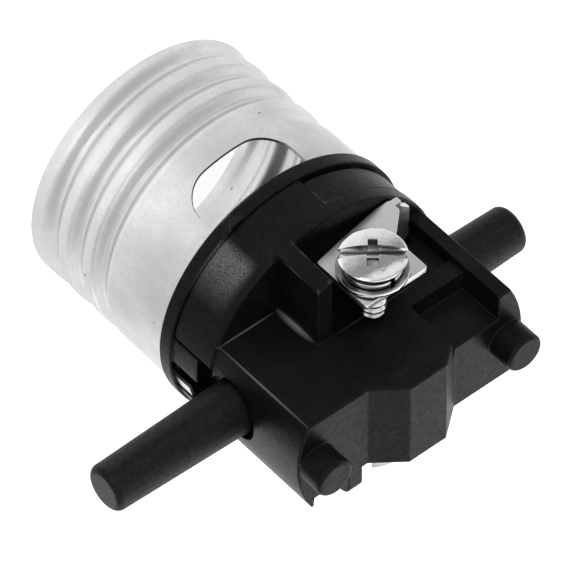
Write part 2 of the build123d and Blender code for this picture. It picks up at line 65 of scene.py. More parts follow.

# Strip of the collar with a painted highlight, greyed and with more sheen: a direction, the two places on
# it (mm) between which
# # the mark changes, and its strength at each
HIGHLIGHT_STRIP_LIMITS = (
    ("across", -2.6, -1.4, 0.0, 1.0),
    ("across", -0.6, 4.0, 1.0, 0.0),
    ("up", 20.9, 21.3, 0.0, 1.0),
    ("up", 24.8, 25.9, 1.0, 0.0),
    ("out", 12.0, 12.6, 0.0, 1.0),
)

# Edges of a CAD mesh that get rounded: those above the first angle, but short ones only above the
# second. Faces closer than the last angle become one flat face.
EDGE_ANGLE = math.radians(32)
SHORT_EDGE_ANGLE = math.radians(52)
SHORT_EDGE = 0.3 * MM
FLAT_ANGLE = math.radians(0.5)

# Arms of the cross beside a screw's slot: place and length as shares of the head's radius, width and
# depth as shares of the slot's
CROSS_ARMS = (
    {"place": 0.29, "length": 0.58, "width": 1.0, "depth": 2.4},
    {"place": -0.2, "length": 0.42, "width": 0.8, "depth": 1.3},
)

# Lamps: name, distance (m), direction round the socket and height (degrees), and size (m)
LAMPS = (
    ("key", 0.35, 5, 12, (0.3, 0.2)),
    ("fill", 0.4, 60, 75, (0.3, 0.3)),
)
FLOOR_REACH = 2.0


# Colours, settings and other small helpers

def srgb(text):
    """Linear colour of a hex value such as 1C1C1E."""
    channels = [int(text[i:i + 2], 16) / 255 for i in (0, 2, 4)]
    return [c / 12.92 if c <= 0.04045 else ((c + 0.055) / 1.055) ** 2.4 for c in channels]


def length(name, description, millimetres):
    """Setting for a length that is written in millimetres."""
    metres = millimetres * MM
    return FloatProperty(name=name, description=description, default=metres, unit="LENGTH", precision=5)


def angle(name, description, degrees):
    """Setting for an angle that is written in degrees."""
    radians = math.radians(degrees)
    return FloatProperty(name=name, description=description, default=radians, subtype="ANGLE")


def share(name, description, default):
    """Setting for a number from nought to one."""
    return FloatProperty(
        name=name, description=description, default=default, min=0, max=1, subtype="FACTOR"
    )


def colour(name, description, text):
    """Setting for a colour that is written as a hex value."""
    return FloatVectorProperty(
        name=name, description=description, default=srgb(text), size=3, min=0, max=1, subtype="COLOR"
    )


def place_of(name, description, millimetres):
    """Setting for a place that is written in millimetres."""
    metres = [value * MM for value in millimetres]
    return FloatVectorProperty(
        name=name, description=description, default=metres, size=3, subtype="TRANSLATION"
    )


def power(name, description, watts):
    """Setting for a lamp's power."""
    return FloatProperty(name=name, description=description, default=watts, min=0, unit="POWER")


class ShellSettings(bpy.types.PropertyGroup):
    length: length("Length", "From the mouth to the end that the cover holds", 20.0)
    sheet: length("Sheet", "Thickness of the aluminium", 0.3)
    pitch: length("Thread pitch", "Rise of the lamp thread in one turn", 25.4 / 7)
    groove_depth: length("Groove depth", "How far the rolled groove goes in", 0.75)
    root_radius: length("Root radius", "Radius of the rolled groove's bottom", 0.5)
    crest_radius: length("Crest radius", "Radius of the rounded crest between two grooves", 0.9)
    flank: angle("Flank", "Slope of the straight flanks", 37.0)
    thread_start: length("Thread start", "Height of the groove's first end above the mouth", 0.45)
    thread_start_angle: angle("Thread start angle", "Where the groove's first end lies", -250.0)
    thread_turns: FloatProperty(name="Turns", description="Length of the groove in turns", default=3.42)
    thread_fade: FloatProperty(name="Fade", description="Turns in which the groove runs out", default=0.25)
    window_angle: angle("Window angle", "Direction that one window faces, the other being opposite", -83.0)
    window_width: length("Window width", "Across the cut-out", 11.5)
    window_height: length("Window height", "Along the axis, most of it above the cover's edge", 9.2)
    window_centre: length("Window centre", "Height of the cut-out's middle above the mouth", 18.7)
    window_corner: length("Window corner", "Radius of the cut-out's corners", 3.4)
    tab_angle: angle("Tab angle", "Where one of the two tabs lies, the other being opposite", 14.4)
    tab_width: length("Tab width", "Across the tab", 1.4)
    tab_top: length("Tab top", "Height of the tabs' ends above the mouth", 23.2)
    columns: IntProperty(name="Columns", description="Faces round the shell", default=336)
    row: length("Row", "Height of one row of faces", 0.25)
    metal: colour("Metal", "Colour of the aluminium", "DDDDDE")
    pit_grey: colour("Pit grey", "Colour of the few dark pits", "6E6E70")
    satin: share("Satin", "Roughness of the rolled sheet", 0.36)


class MouldingSettings(bpy.types.PropertyGroup):
    edge: length("Edge", "Radius of the moulded edges", 0.14)
    # Painted highlight along the moulded edges: its reach and how grey it is
    edge_line: length("Edge line", "Reach of the line along the edges", 0.16)
    edge_highlight: share("Edge highlight", "How grey that line is", 0.75)
    resin: colour("Resin", "Colour of the moulding", "0B0B0C")
    gloss: share("Gloss", "Roughness of the moulded skin", 0.3)
    sheen: share("Sheen", "Strength of the skin's reflection, which is weak on filled resin", 0.1)
    bar_gloss: share("Bar gloss", "Roughness of the push bar, which fingers have dulled", 0.42)
    bar_sheen: share("Bar sheen", "Strength of the push bar's reflection", 0.2)
    grain: length("Grain", "Width of one grain of the filler in the skin", 0.14)
    # Painted highlight: a strip of the collar is greyed and given more sheen; the same grey and sheen serve
    # the painted edge line and soft places
    highlight_angle: angle("Highlight angle", "Where the painted highlight lies on the collar", -50.0)
    highlight_grey: colour("Highlight grey", "Colour of the painted highlights on the skin", "565657")
    highlight_sheen: share("Highlight sheen", "Strength of the reflection where highlights are painted", 0.6)


class TerminalSettings(bpy.types.PropertyGroup):
    thread_pitch: length("Thread pitch", "Rise of the screw's thread in one turn", 25.4 / 32)
    thread_depth: length("Thread depth", "Depth of the screw's thread", 0.28)
    head_dome: length("Head dome", "How far the middle of the head stands above its edge", 0.6)
    head_waist: length("Head waist", "How far the head draws in below its edge", 0.55)
    sheet_roughness: share("Sheet roughness", "Roughness of plated sheet", 0.32)
    turned_roughness: share("Turned roughness", "Roughness of plated turned parts", 0.17)
    slot_width: length("Slot width", "Across the slot in the head", 1.15)
    slot_depth: length("Slot depth", "Depth of the slot in the middle of the head", 1.15)
    slot_angle: angle("Slot angle", "Turn of the slot from the push bar's direction", 140.0)
    cross_side: FloatProperty(
        name="Cross side", description="Side of the slot with the deeper arm, 1 or -1", default=-1.0
    )
    rim_edge: length("Rim edge", "Height of the head's rounded rim", 0.3)
    cut_edge: length("Cut edge", "Width of the broken edges of the head and its slot", 0.07)
    shank_radius: length("Shank radius", "Over the crests of the thread", 1.4)
    shank_taper: FloatProperty(name="Shank taper", description="Slope of the shank's end", default=1.5)
    plate_edge: length("Plate edge", "Radius of the edges of plates and washers", 0.08)
    plating: colour("Plating", "Colour of the plated steel", "EDECEA")
    # Painted shade: ambient occlusion greys the plating in gaps and down in the pocket
    head_shade_reach: length("Head shade reach", "Reach of the painted shade in gaps by the heads", 0.9)
    pocket_shade_reach: length("Pocket shade reach", "The same on the washers and the shank, down in the pocket", 2.6)
    shade_grey: colour("Shade grey", "Colour of the painted shade in a gap", "666668")
    brass: colour("Brass", "Colour of the contact strip", "C9A66B")
    fibre: colour("Fibre", "Colour of the fibre washer", "7A4A34")
    spring: colour("Spring", "Colour of the spring strip", "8C8E92")


class StudioSettings(bpy.types.PropertyGroup):
    target_height: length("Target height", "Where the camera's line meets the socket's axis", 21.5)
    distance: length("Distance", "From that point to the camera", 660.5)
    azimuth: angle("Azimuth", "Direction of the camera round the socket", 28.985)
    elevation: angle("Elevation", "Height of the camera's line above the floor", 30.081)
    roll: angle("Roll", "Turn of the camera about its own line", 131.822)
    lens: FloatProperty(name="Lens", description="Focal length of the camera", default=437.5, unit="CAMERA")
    key: power("Key", "Power of the large soft lamp at the near side", 1.2)
    fill: power("Fill", "Power of the lamp above the base", 0.5)
    sky: share("Sky", "Strength of the even light from all round", 0.55)
    room: FloatProperty(name="Room", description="Brightness of the room straight above", default=1.05)
    backdrop: FloatProperty(name="Backdrop", description="Brightness of the paper wall behind", default=1.8)
    wall_foot: share("Wall foot", "Brightness of the paper where floor and wall meet behind", 0.95)
    floor: colour("Floor", "Colour of the paper", "D8D8D8")
    floor_glow: share("Floor glow", "White that the camera sees on the paper beside its lit colour", 0.85)
    # Painted light on the paper, glowing only in reflections: the pool round the socket, the paper further
    # out, the key lamp's patch and the side glow
    pool: share("Pool", "Brightness of the lit paper round the socket, in its reflections", 0.72)
    far_floor: share("Far floor", "Brightness of the paper further out, in the reflections", 0.3)
    pool_inner: length("Pool inner", "Radius of the fully lit paper", 15.0)
    pool_outer: length("Pool outer", "Radius where the light has fallen off", 100.0)
    key_glow: FloatProperty(name="Key glow", description="Brightness of the key lamp's patch", default=0.62)
    key_place: place_of("Key place", "Middle of the key lamp's patch on the paper", (20, -24, 0))
    key_spread: length("Key spread", "Radius of the key lamp's patch", 26.0)
    side_glow: FloatProperty(name="Side glow", description="Brightness of the painted glow off the long end of the bar", default=2.0)
    side_glow_place: place_of("Side glow place", "Middle of that paper, off the long end of the bar", (48, 52, 0))
    side_glow_spread: length("Side glow spread", "Radius of that paper", 34.0)
    horizon: share("Horizon", "Brightness of the room near the horizon", 0.9)
    ceiling: share("Ceiling", "Brightness of the room above the camera", 0.4)
    softbox: share("Softbox", "Brightness of the soft lamp beside the camera, in reflections", 0.9)
    softbox_side: angle("Softbox side", "From the camera's direction round to that lamp", -16.0)
    softbox_height: angle("Softbox height", "Height of that lamp above the level", 5.0)


# Nodes and materials

def add_node(tree, kind, settings=(), links=()):
    """Add one node, set its properties and sockets by name, and link its sockets."""
    node = tree.nodes.new(kind)
    for key, value in dict(settings).items():
        if isinstance(key, str) and hasattr(node, key):
            setattr(node, key, value)
        else:
            node.inputs[key].default_value = value
    for key, source in dict(links).items():
        tree.links.new(source, node.inputs[key])
    return node


def new_material(name):
    """Empty node material with its principled shader linked to the output."""
    material = bpy.data.materials.new(name)
    material.use_nodes = True
    tree = material.node_tree
    tree.nodes.clear()
    shader = add_node(tree, "ShaderNodeBsdfPrincipled")
    add_node(tree, "ShaderNodeOutputMaterial", {}, {"Surface": shader.outputs[0]})
    place = add_node(tree, "ShaderNodeTexCoord").outputs["Object"]
    return material, tree, shader, place


def noise(tree, place, width, detail=2.0, roughness=0.5):
    """Cloudy noise whose patches are about as wide as the given length."""
    settings = {"Scale": 1 / width, "Detail": detail, "Roughness": roughness}
    return add_node(tree, "ShaderNodeTexNoise", settings, {"Vector": place}).outputs["Fac"]


def spread(tree, value, low, high, new_low, new_high):
    """Map one range of a value to another, held at its ends."""
    settings = {1: low, 2: high, 3: new_low, 4: new_high}
    return add_node(tree, "ShaderNodeMapRange", settings, {0: value}).outputs[0]


def mixed(tree, factor, first, second):
    """Mix two colours, each a colour or a socket, by a factor socket."""
    node = add_node(tree, "ShaderNodeMix", {"data_type": "RGBA"}, {0: factor})
    for index, value in ((6, first), (7, second)):
        if hasattr(value, "is_output"):
            tree.links.new(value, node.inputs[index])
        else:
            node.inputs[index].default_value = (*value, 1)
    return node.outputs[2]


def joined(tree, operation, first, second):
    """Work out one number from two, each a number or a socket."""
    node = add_node(tree, "ShaderNodeMath", {"operation": operation})
    for index, value in enumerate((first, second)):
        if hasattr(value, "is_output"):
            tree.links.new(value, node.inputs[index])
        else:
            node.inputs[index].default_value = value
    return node.outputs[0]


def along(tree, vector, direction):
    """How far a vector socket goes in a direction."""
    settings = {"operation": "DOT_PRODUCT", 1: direction}
    return add_node(tree, "ShaderNodeVectorMath", settings, {0: vector}).outputs["Value"]


def bump(tree, height, distance, strength=1.0):
    """Surface relief of a given depth from a height socket."""
    settings = {"Strength": strength, "Distance": distance}
    return add_node(tree, "ShaderNodeBump", settings, {"Height": height}).outputs[0]


def highlight_strip_mark(tree, place, settings):
    """Strip of the collar, one side of it crisp, that carries a painted highlight."""
    outward = (math.cos(settings.highlight_angle), math.sin(settings.highlight_angle), 0.0)
    ways = {"across": (-outward[1], outward[0], 0.0), "up": (0.0, 0.0, 1.0), "out": outward}
    strip_mask = 1.0
    for way, first, last, start, end in HIGHLIGHT_STRIP_LIMITS:
        limit = spread(tree, along(tree, place, ways[way]), first * MM, last * MM, start, end)
        strip_mask = joined(tree, "MULTIPLY", strip_mask, limit)
    return strip_mask


def soft_mark(tree, place, middle, reach):
    """Soft egg-shaped patch: one at its middle, nought at its reach, both in millimetres."""
    away = place
    for operation, millimetres in (("SUBTRACT", middle), ("DIVIDE", reach)):
        settings = {"operation": operation, 1: [value * MM for value in millimetres]}
        away = add_node(tree, "ShaderNodeVectorMath", settings, {0: away}).outputs[0]
    size = add_node(tree, "ShaderNodeVectorMath", {"operation": "LENGTH"}, {0: away}).outputs["Value"]
    return spread(tree, size, 0.3, 1.0, 1.0, 0.0)


def edge_highlight_mark(tree, place, settings):
    """Painted highlight: a narrow line along the edges and corners, broken up by noise."""
    rounded = add_node(tree, "ShaderNodeBevel", {"samples": 8, "Radius": settings.edge_line}).outputs[0]
    flat = add_node(tree, "ShaderNodeNewGeometry").outputs["Normal"]
    alike = add_node(tree, "ShaderNodeVectorMath", {"operation": "DOT_PRODUCT"}, {0: rounded, 1: flat})
    line = spread(tree, alike.outputs["Value"], 0.9, 0.985, 1.0, 0.0)
    broken = spread(tree, noise(tree, place, 2.5 * MM, 3.0, 0.6), 0.42, 0.66, 0.0, 1.0)
    return joined(tree, "MULTIPLY", line, broken)


def phenolic_moulding(settings, name, gloss, sheen):
    """Phenolic moulding: near-black resin with a satin skin.

    The wood-flour filler gives the skin a fine grain that sparkles in a highlight,
    handling leaves a faint grey bloom in patches, and painted highlights grey the skin and
    raise its sheen on a strip of the collar, a few soft places and a broken line along the edges.
    """
    material, tree, shader, place = new_material(name)
    grain = noise(tree, place, settings.grain, 3.0, 0.6)
    bloom = noise(tree, place, 6 * MM, 4.0, 0.55)
    patches = spread(tree, bloom, 0.5, 0.75, 0.0, 1.0)
    dusty = [c * 1.5 + 0.001 for c in settings.resin]
    # Painted highlights: the collar strip, the edge line and the soft places grey the skin and raise its
    # sheen
    flecks = spread(tree, noise(tree, place, settings.grain, 2.0, 0.7), 0.35, 0.62, 0.15, 1.0)
    highlight_strip = joined(tree, "MULTIPLY", highlight_strip_mark(tree, place, settings), flecks)
    edges = joined(tree, "MULTIPLY", edge_highlight_mark(tree, place, settings), settings.edge_highlight)
    highlight_and_dull_plate = joined(tree, "MAXIMUM", highlight_strip, edges)
    for middle, reach, strength in PAINTED_HIGHLIGHT_PLACES:
        soft_highlight = joined(tree, "MULTIPLY", soft_mark(tree, place, middle, reach), strength)
        highlight_and_dull_plate = joined(tree, "MAXIMUM", highlight_and_dull_plate, soft_highlight)
    skin = mixed(tree, patches, settings.resin, dusty)
    tree.links.new(mixed(tree, highlight_and_dull_plate, skin, settings.highlight_grey), shader.inputs["Base Color"])
    uneven = spread(tree, noise(tree, place, 0.4 * MM, 2.0, 0.6), 0.35, 0.65, sheen * 0.75, sheen * 1.3)
    lifted = joined(tree, "MULTIPLY", highlight_and_dull_plate, settings.highlight_sheen)
    tree.links.new(joined(tree, "MAXIMUM", uneven, lifted), shader.inputs["Specular IOR Level"])
    rough = spread(tree, grain, 0.3, 0.7, gloss - 0.05, gloss + 0.12)
    tree.links.new(rough, shader.inputs["Roughness"])
    tree.links.new(bump(tree, grain, 0.012 * MM), shader.inputs["Normal"])
    shader.inputs["IOR"].default_value = 1.5
    return material


def rolled_aluminium(settings):
    """Commercially pure aluminium sheet, rolled and then thread-rolled.

    The rolls leave a satin skin with faint lines and a fine sparkle round the shell,
    dull handling patches and a few dark pits.
    """
    material, tree, shader, place = new_material("rolled_aluminium")
    shader.inputs["Metallic"].default_value = 1.0
    squeezed = add_node(tree, "ShaderNodeMapping", {"Scale": (0.15, 0.15, 6.0)}, {"Vector": place})
    lines = noise(tree, squeezed.outputs[0], 1.2 * MM, 4.0, 0.6)
    cloud = noise(tree, place, 5 * MM, 4.0, 0.6)
    pits = add_node(tree, "ShaderNodeTexVoronoi", {"Scale": 1 / (2.6 * MM)}, {"Vector": place})
    pit_mask = spread(tree, pits.outputs["Distance"], 0.03, 0.07, 1.0, 0.0)
    dulled = [c * 0.86 for c in settings.metal]
    speckle = noise(tree, place, 0.35 * MM, 2.0, 0.6)
    skin = mixed(tree, spread(tree, cloud, 0.35, 0.7, 0.0, 1.0), settings.metal, dulled)
    skin = mixed(tree, spread(tree, speckle, 0.45, 0.75, 0.0, 1.0), skin, dulled)
    tree.links.new(mixed(tree, pit_mask, skin, settings.pit_grey), shader.inputs["Base Color"])
    rough = spread(tree, cloud, 0.3, 0.7, settings.satin - 0.05, settings.satin + 0.08)
    tree.links.new(rough, shader.inputs["Roughness"])
    streaks = joined(tree, "ADD", lines, speckle)
    tree.links.new(bump(tree, streaks, 0.016 * MM, 0.7), shader.inputs["Normal"])
    return material


def nickel_plate(settings, name, roughness, ripple_depth, painted_shade_reach):
    """Mild steel with bright nickel plate, stamped or turned before it was plated.

    Stamped sheet mirrors softly with hardly a ripple, and turned parts show dark and
    bright patches of their surroundings. Down in a recess the colour goes grey, a painted shade.
    """
    material, tree, shader, place = new_material(name)
    shader.inputs["Metallic"].default_value = 1.0
    ripple = noise(tree, place, 1.1 * MM, 2.0, 0.45)
    # A duller tone of the plating in random patches
    highlight_and_dull_plate = [c * 0.9 for c in settings.plating]
    skin = mixed(tree, spread(tree, ripple, 0.5, 0.75, 0.0, 1.0), settings.plating, highlight_and_dull_plate)
    if painted_shade_reach:
        # Painted shade: the colour goes grey where ambient occlusion finds nearby surfaces
        open_sky = add_node(tree, "ShaderNodeAmbientOcclusion", {"samples": 8, "Distance": painted_shade_reach})
        depth = spread(tree, open_sky.outputs["AO"], 0.5, 0.92, 1.0, 0.0)
        skin = mixed(tree, depth, skin, settings.shade_grey)
    tree.links.new(skin, shader.inputs["Base Color"])
    rough = spread(tree, ripple, 0.3, 0.7, roughness - 0.03, roughness + 0.05)
    tree.links.new(rough, shader.inputs["Roughness"])
    tree.links.new(bump(tree, ripple, ripple_depth, 0.6), shader.inputs["Normal"])
    return material


def brass_strip(settings):
    """Cartridge brass strip, blanked and bent, with a dull tarnish in patches."""
    material, tree, shader, place = new_material("brass_strip")
    shader.inputs["Metallic"].default_value = 1.0
    tarnish = noise(tree, place, 1.5 * MM, 4.0, 0.6)
    darker = [c * 0.6 for c in settings.brass]
    patches = spread(tree, tarnish, 0.45, 0.75, 0.0, 1.0)
    tree.links.new(mixed(tree, patches, settings.brass, darker), shader.inputs["Base Color"])
    tree.links.new(spread(tree, tarnish, 0.3, 0.7, 0.25, 0.42), shader.inputs["Roughness"])
    return material


def vulcanised_fibre(settings):
    """Vulcanised fibre, punched from sheet: red-brown, matt and faintly mottled."""
    material, tree, shader, place = new_material("vulcanised_fibre")
    mottle = noise(tree, place, 0.6 * MM, 4.0, 0.65)
    darker = [c * 0.6 for c in settings.fibre]
    tree.links.new(mixed(tree, mottle, settings.fibre, darker), shader.inputs["Base Color"])
    tree.links.new(bump(tree, mottle, 0.02 * MM), shader.inputs["Normal"])
    shader.inputs["Roughness"].default_value = 0.7
    shader.inputs["IOR"].default_value = 1.5
    return material


def spring_strip(settings):
    """Tempered steel strip with grey rolled faces."""
    material, tree, shader, place = new_material("spring_strip")
    shader.inputs["Metallic"].default_value = 1.0
    streaks = noise(tree, place, 0.7 * MM, 3.0, 0.6)
    darker = [c * 0.6 for c in settings.spring]
    tree.links.new(mixed(tree, streaks, settings.spring, darker), shader.inputs["Base Color"])
    tree.links.new(spread(tree, streaks, 0.3, 0.7, 0.28, 0.4), shader.inputs["Roughness"])
    return material


def paint(piece, material):
    """Give a piece one material."""
    piece.data.materials.clear()
    piece.data.materials.append(material)


# Meshes

def link(name, mesh):
    """Put a mesh in the scene as an object."""
    piece = bpy.data.objects.new(name, mesh)
    bpy.context.scene.collection.objects.link(piece)
    return piece


def from_lists(name, vertices, faces):
    """Object from lists of points and faces."""
    mesh = bpy.data.meshes.new(name)
    mesh.from_pydata(vertices, [], faces)
    mesh.validate()
    return link(name, mesh)


def settle(piece, *modifiers):
    """Add modifiers, each a kind with its settings, and make their result the mesh."""
    for kind, settings in modifiers:
        modifier = piece.modifiers.new(kind, kind)
        for key, value in settings.items():
            setattr(modifier, key, value)
    bpy.context.view_layer.update()
    shaped = piece.evaluated_get(bpy.context.evaluated_depsgraph_get())
    mesh = bpy.data.meshes.new_from_object(shaped)
    piece.modifiers.clear()
    piece.data = mesh
    return piece


def smooth(piece, sharp_above):
    """Smooth shading that stays crisp where faces meet at more than an angle."""
    piece.data.polygons.foreach_set("use_smooth", [True] * len(piece.data.polygons))
    piece.data.set_sharp_from_angle(angle=math.radians(sharp_above))
    return piece


def within(box, point):
    """Point that is brought back into a box."""
    low, high = box
    return Vector([max(low[i], min(point[i], high[i])) for i in range(3)])


def rounded_copy(node, name, width, segments=3):
    """Copy of a node whose sharp edges are rounded as a mould or die leaves them."""
    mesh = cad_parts[node].data.copy()
    shape = bmesh.new()
    shape.from_mesh(mesh)
    bmesh.ops.remove_doubles(shape, verts=shape.verts, dist=0.001 * MM)
    bmesh.ops.dissolve_limit(shape, angle_limit=FLAT_ANGLE, verts=shape.verts, edges=shape.edges)
    before = BVHTree.FromBMesh(shape)
    sharp = []
    for edge in shape.edges:
        limit = EDGE_ANGLE if edge.calc_length() > SHORT_EDGE else SHORT_EDGE_ANGLE
        if edge.is_manifold and edge.calc_face_angle(0) > limit:
            sharp.append(edge)
    bmesh.ops.bevel(
        shape, geom=sharp, offset=width, segments=segments, profile=0.5, affect="EDGES",
        clamp_overlap=False, offset_type="OFFSET",
    )
    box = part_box(node)
    for vertex in shape.verts:
        nearest, _, _, gap = before.find_nearest(vertex.co)
        vertex.co = within(box, nearest if gap > width else vertex.co)
    shape.to_mesh(mesh)
    shape.free()
    mesh.materials.clear()
    piece = link(name, mesh)
    piece.data.polygons.foreach_set("use_smooth", [True] * len(mesh.polygons))
    settle(piece, ("WEIGHTED_NORMAL", {"weight": 100, "keep_sharp": False}))
    return piece


def on_ring(plane, radius, turn, height):
    """Point at a radius, an angle and a height round a plane's own upright."""
    return plane @ Vector((radius * math.cos(turn), radius * math.sin(turn), height))


def ringed(name, vertices, columns):
    """Closed surface over rows of points, each row once round, with a cap on both ends."""
    faces = []
    for row in range(len(vertices) // columns - 1):
        for step in range(columns):
            after = (step + 1) % columns
            low, high = row * columns, (row + 1) * columns
            faces.append((low + step, low + after, high + after, high + step))
    faces.append(tuple(reversed(range(columns))))
    faces.append(tuple(range(len(vertices) - columns, len(vertices))))
    return from_lists(name, vertices, faces)


# Screw shell

def thread_profile(settings, distance):
    """Depth of the groove at a distance from its middle: an arc, a flank and the crest's edge."""
    slope = math.tan(settings.flank)
    root_drop = settings.root_radius * (1 - math.cos(settings.flank))
    crest_drop = settings.crest_radius * (1 - math.cos(settings.flank))
    root_end = settings.root_radius * math.sin(settings.flank)
    flank_end = root_end + (settings.groove_depth - root_drop - crest_drop) / slope
    crest_end = flank_end + settings.crest_radius * math.sin(settings.flank)
    if distance >= crest_end:
        return 0.0
    if distance > flank_end:
        return settings.crest_radius - math.sqrt(settings.crest_radius ** 2 - (crest_end - distance) ** 2)
    depth = crest_drop + (flank_end - max(distance, root_end)) * slope
    if distance < root_end:
        arc = math.sqrt(settings.root_radius ** 2 - distance ** 2)
        depth += arc - settings.root_radius * math.cos(settings.flank)
    return depth


def groove_depth_at(settings, turn, height):
    """Depth of the rolled groove at an angle and a height."""
    deepest = 0.0
    first = (turn - settings.thread_start_angle) / (2 * math.pi) % 1
    for whole in range(int(settings.thread_turns) + 1):
        along = first + whole
        to_end = min(along, settings.thread_turns - along) / settings.thread_fade
        distance = abs(height - settings.thread_start - settings.pitch * along)
        if distance < settings.pitch / 2 and to_end > 0:
            faded = math.sin(min(to_end, 1) * math.pi / 2) ** 2
            deepest = max(deepest, faded * thread_profile(settings, distance))
    return deepest


def window_distance(settings, radius, turn, height):
    """Distance of a point on the shell from the nearer window's edge, negative inside."""
    across = abs(radius * math.sin(turn - settings.window_angle)) - settings.window_width / 2
    along = abs(height - settings.window_centre) - settings.window_height / 2
    across += settings.window_corner
    along += settings.window_corner
    outside = math.hypot(max(across, 0), max(along, 0))
    return outside + min(max(across, along), 0) - settings.window_corner


def shell_mesh(settings):
    """Thread-rolled shell with windows and tabs, as one sheet that is then thickened."""
    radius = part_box("screw_shell")[1].x
    columns = settings.columns
    turns = [2 * math.pi * step / columns for step in range(columns)]
    tab_half = settings.tab_width / 2 / radius
    in_tab = set()
    for middle in (settings.tab_angle, settings.tab_angle + math.pi):
        edges = [round((middle + side * tab_half) / (2 * math.pi) * columns) for side in (-1, 1)]
        turns[edges[0] % columns] = middle - tab_half
        turns[edges[1] % columns] = middle + tab_half
        in_tab.update(step % columns for step in range(edges[0], edges[1]))
    rows = round(settings.length / settings.row)
    tab_rows = round((settings.tab_top - settings.length) / settings.row)
    heights = [settings.length * row / rows for row in range(rows + 1)]
    heights += [settings.length + (settings.tab_top - settings.length) * row / tab_rows
                for row in range(1, tab_rows + 1)]
    snap = 0.5 * settings.row
    step = 0.01 * MM
    vertices, inside = [], []
    for height in heights:
        for turn in turns:
            z, t = height, turn
            gap = window_distance(settings, radius, t, z)
            if abs(gap) < snap and z < settings.length:
                slope_t = (window_distance(settings, radius, t + step / radius, z) - gap) / step
                slope_z = (window_distance(settings, radius, t, z + step) - gap) / step
                t -= gap * slope_t / radius
                z = min(z - gap * slope_z, settings.length)
                gap = 0.0
            r = radius - groove_depth_at(settings, t, z)
            vertices.append((r * math.cos(t), r * math.sin(t), z))
            inside.append(gap)
    faces = []
    for row in range(len(heights) - 1):
        for column in range(columns):
            if row >= rows and column not in in_tab:
                continue
            after = (column + 1) % columns
            low, high = row * columns, (row + 1) * columns
            corners = (low + column, low + after, high + after, high + column)
            kept = [c for c in corners if row >= rows or inside[c] >= 0]
            if len(kept) >= 3 and (row >= rows or any(inside[c] > 0 for c in kept)):
                faces.append(kept)
    piece = from_lists("screw_shell_rolled", vertices, faces)
    shape = bmesh.new()
    shape.from_mesh(piece.data)
    bmesh.ops.delete(shape, geom=[v for v in shape.verts if not v.link_faces], context="VERTS")
    shape.to_mesh(piece.data)
    shape.free()
    settle(piece, ("SOLIDIFY", {"thickness": settings.sheet, "offset": -1.0, "use_even_offset": True}))
    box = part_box("screw_shell")
    for vertex in piece.data.vertices:
        vertex.co = within(box, vertex.co)
    return smooth(piece, 50)


class LAMPSOCKET_OT_shell(bpy.types.Operator):
    """Build the thread-rolled aluminium shell"""

    bl_idname = "lampsocket.shell"
    bl_label = "Screw Shell"

    def execute(self, context):
        settings = context.scene.lamp_socket_shell
        piece = shell_mesh(settings)
        paint(piece, rolled_aluminium(settings))
        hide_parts("screw_shell")
        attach(piece, "holder")
        return {"FINISHED"}


# Mouldings

class LAMPSOCKET_OT_mouldings(bpy.types.Operator):
    """Build the black base and cover with rounded edges, and paint the push bar"""

    bl_idname = "lampsocket.mouldings"
    bl_label = "Mouldings"

    def execute(self, context):
        settings = context.scene.lamp_socket_moulding
        black = phenolic_moulding(settings, "phenolic_moulding", settings.gloss, settings.sheen)
        satin = phenolic_moulding(settings, "phenolic_bar", settings.bar_gloss, settings.bar_sheen)
        for node in ("base_moulding", "cover_disc"):
            piece = rounded_copy(node, node + "_skin", settings.edge)
            paint(piece, black)
            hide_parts(node)
            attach(piece, "holder")
        paint(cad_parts["push_bar"], satin)
        return {"FINISHED"}


# Terminals

def screw_plane(node):
    """Frame of a terminal screw: upright out of the head, from the underside of the head."""
    low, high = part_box(node)
    outward = -1 if node.startswith("neutral") else 1
    middle = (low + high) / 2
    washer_low, washer_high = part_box(node.split("_")[0] + "_spring_washer")
    seat = washer_low.y if outward < 0 else washer_high.y
    upright = Vector((0, outward, 0))
    across = Vector((-outward, 0, 0))
    along = upright.cross(across)
    basis = Matrix((across, along, upright)).transposed().to_4x4()
    return Matrix.Translation((middle.x, seat, middle.z)) @ basis


def screw_head(node, plane, radius, top, settings):
    """Head with a domed top, cut by a slot and the two arms of a cross."""
    edge = settings.rim_edge
    rim = top - settings.head_dome
    profile = [
        (radius - settings.head_waist, 0.0),
        (radius - edge * 0.4, rim - edge),
        (radius, rim - edge * 0.7),
        (radius, rim - edge * 0.3),
    ]
    dome_steps = 12
    for step in range(dome_steps + 1):
        part = 1 - step / dome_steps
        inner = max((radius - edge * 0.3) * part, 0.05 * MM)
        profile.append((inner, rim + settings.head_dome * (1 - part ** 2.4)))
    columns = 96
    turns = [2 * math.pi * step / columns for step in range(columns)]
    vertices = [on_ring(plane, r, turn, height) for r, height in profile for turn in turns]
    head = ringed(node + "_head", vertices, columns)
    width, depth = settings.slot_width, settings.slot_depth
    cuts = [(0.0, (3 * radius, width, 2 * depth))]
    for arm in CROSS_ARMS:
        size = (arm["width"] * width, arm["length"] * radius, arm["depth"] * depth)
        cuts.append((settings.cross_side * arm["place"] * radius, size))
    slot_plane = plane @ Matrix.Rotation(settings.slot_angle, 4, "Z")
    for place, size in cuts:
        cutter = cutter_box(slot_plane @ Matrix.Translation((0, place, 0)), size, top)
        settle(head, ("BOOLEAN", {"object": cutter, "operation": "DIFFERENCE", "solver": "EXACT"}))
        bpy.data.objects.remove(cutter)
    settle(head, ("BEVEL", {
        "width": settings.cut_edge, "segments": 2, "limit_method": "ANGLE",
        "angle_limit": math.radians(35), "use_clamp_overlap": True,
    }))
    return smooth(head, 50)


